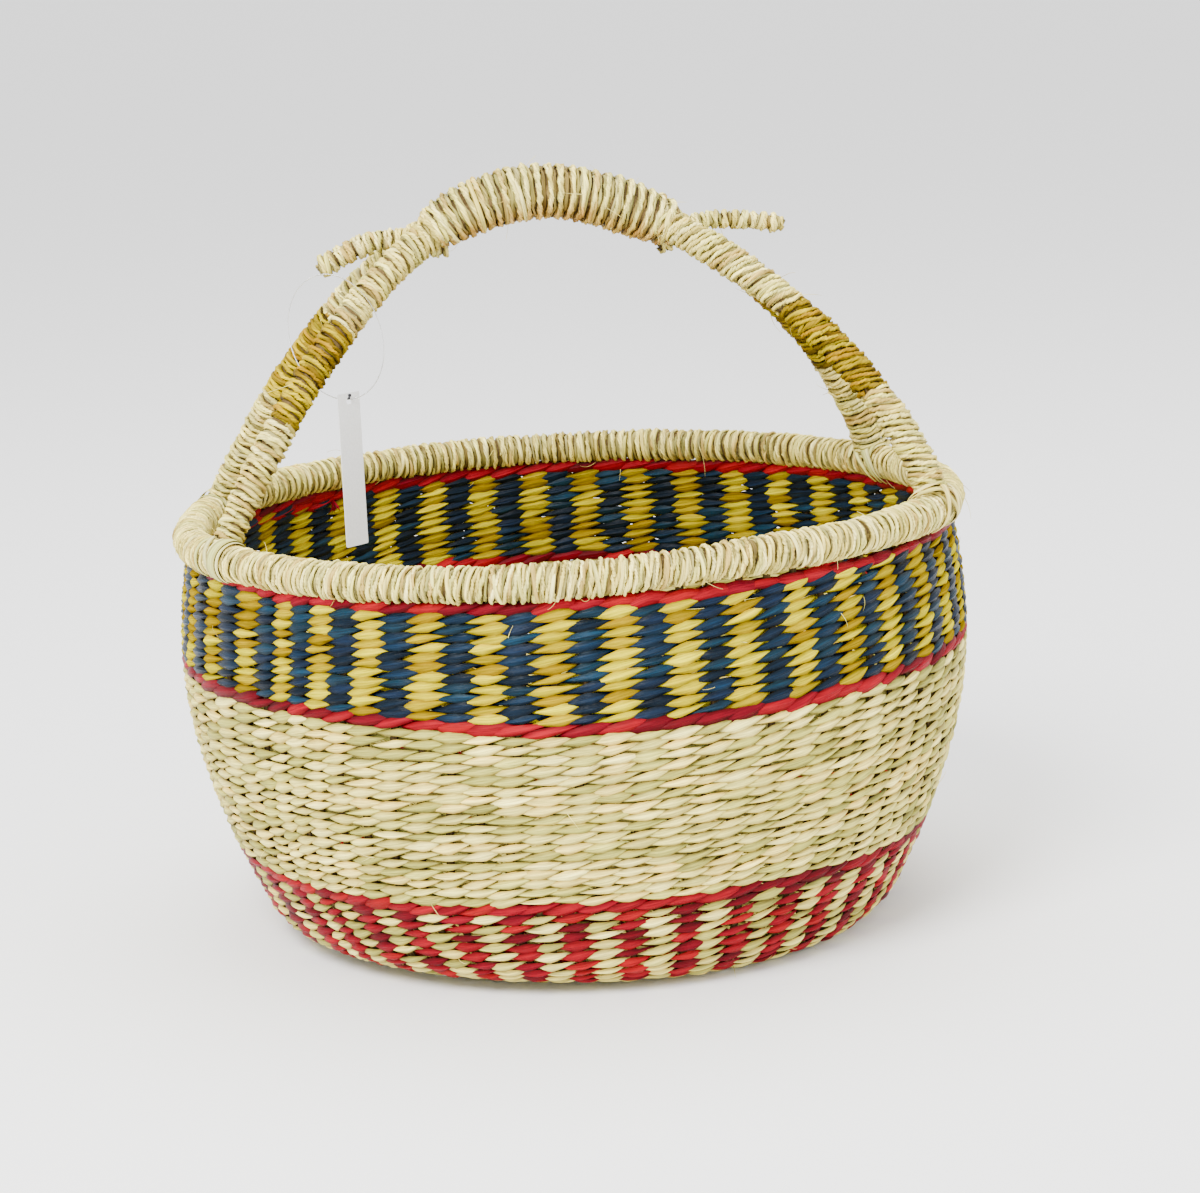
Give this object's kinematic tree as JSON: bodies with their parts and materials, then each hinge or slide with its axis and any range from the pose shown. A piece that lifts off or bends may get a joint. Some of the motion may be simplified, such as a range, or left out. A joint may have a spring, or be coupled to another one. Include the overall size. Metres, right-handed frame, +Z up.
{
  "type": "basket",
  "caption": "Round coloured market basket of twined dried grass with a wrapped rim, a fixed arched carrying handle bound at the top, and a blank hanging tag.",
  "frame": {"origin": "centre of the basket's flat underside, on the surface that it stands on", "axes": "+Z up; X along the handle from foot to foot, with the tagged leg at -X and -Y; Y across the handle"},
  "size_m": [0.4034, 0.4038, 0.3857],
  "materials": {
    "natural_grass": "matt dried grass, beige to greenish",
    "red_and_natural_grass": "matt dried grass, dyed red and natural in turn",
    "red_grass": "matt dried grass, dyed crimson to orange red",
    "blue_and_yellow_grass": "matt dried grass, dyed blue and yellow in turn",
    "stake_grass": "matt dried grass",
    "bundled_grass": "bundled dried grass under the wrapping",
    "wrapping_straw": "satin split straw, pale cream to tan",
    "golden_straw": "satin split straw, dyed mustard",
    "green_grass": "matt flat grass blades, pale green",
    "clear_filament": "clear stiff plastic filament",
    "white_card": "smooth white card, blank"
  },
  "bodies": {
    "basket": {"base_rows_outside": "natural_grass", "base_rows_inside": "natural_grass", "foot_rows_outside": "natural_grass", "foot_rows_inside": "natural_grass", "lower_striped_rows_outside": "red_and_natural_grass", "lower_striped_rows_inside": "red_and_natural_grass", "lower_red_row_outside": "red_grass", "lower_red_row_inside": "red_grass", "middle_plain_rows_outside": "natural_grass", "middle_plain_rows_inside": "natural_grass", "upper_red_row_outside": "red_grass", "upper_red_row_inside": "red_grass", "upper_striped_rows_outside": "blue_and_yellow_grass", "upper_striped_rows_inside": "blue_and_yellow_grass", "top_red_row_outside": "red_grass", "top_red_row_inside": "red_grass", "stake_cage": "stake_grass", "rim_core": "bundled_grass", "rim_binding_right": "wrapping_straw", "rim_binding_back": "wrapping_straw", "rim_binding_left": "wrapping_straw", "rim_binding_front": "wrapping_straw", "front_arch_core": "bundled_grass", "front_left_lower_binding": "wrapping_straw", "front_left_gold_binding": "golden_straw", "front_left_upper_binding": "wrapping_straw", "front_right_lower_binding": "wrapping_straw", "front_right_gold_binding": "golden_straw", "front_right_upper_binding": "wrapping_straw", "back_arch_core": "bundled_grass", "back_left_lower_binding": "wrapping_straw", "back_left_gold_binding": "golden_straw", "back_left_upper_binding": "wrapping_straw", "back_right_lower_binding": "wrapping_straw", "back_right_gold_binding": "golden_straw", "back_right_upper_binding": "wrapping_straw", "grip_binding": "wrapping_straw", "left_horn_core": "bundled_grass", "left_horn_binding": "wrapping_straw", "right_horn_core": "bundled_grass", "right_horn_binding": "wrapping_straw", "back_right_lashing": "green_grass", "back_left_lashing": "green_grass", "front_left_lashing": "green_grass", "front_right_lashing": "green_grass"},
    "tag_loop": {"tag_loop": "clear_filament"},
    "tag_card": {"tag_card": "white_card"}
  },
  "joints": [
    {"name": "tag_loop_swing", "type": "hinge", "parent": "basket", "child": "tag_loop", "pos_m": [-0.11486, -0.03565, 0.309], "axis": [0.6071, 0.3401, 0.7182], "range_deg": [-30, 30]},
    {"name": "tag_card_swing", "type": "hinge", "parent": "tag_loop", "child": "tag_card", "pos_m": [-0.11049, -0.03321, 0.27739], "axis": [0.6691, -0.7431, 0], "range_deg": [-30, 30]}
  ]
}
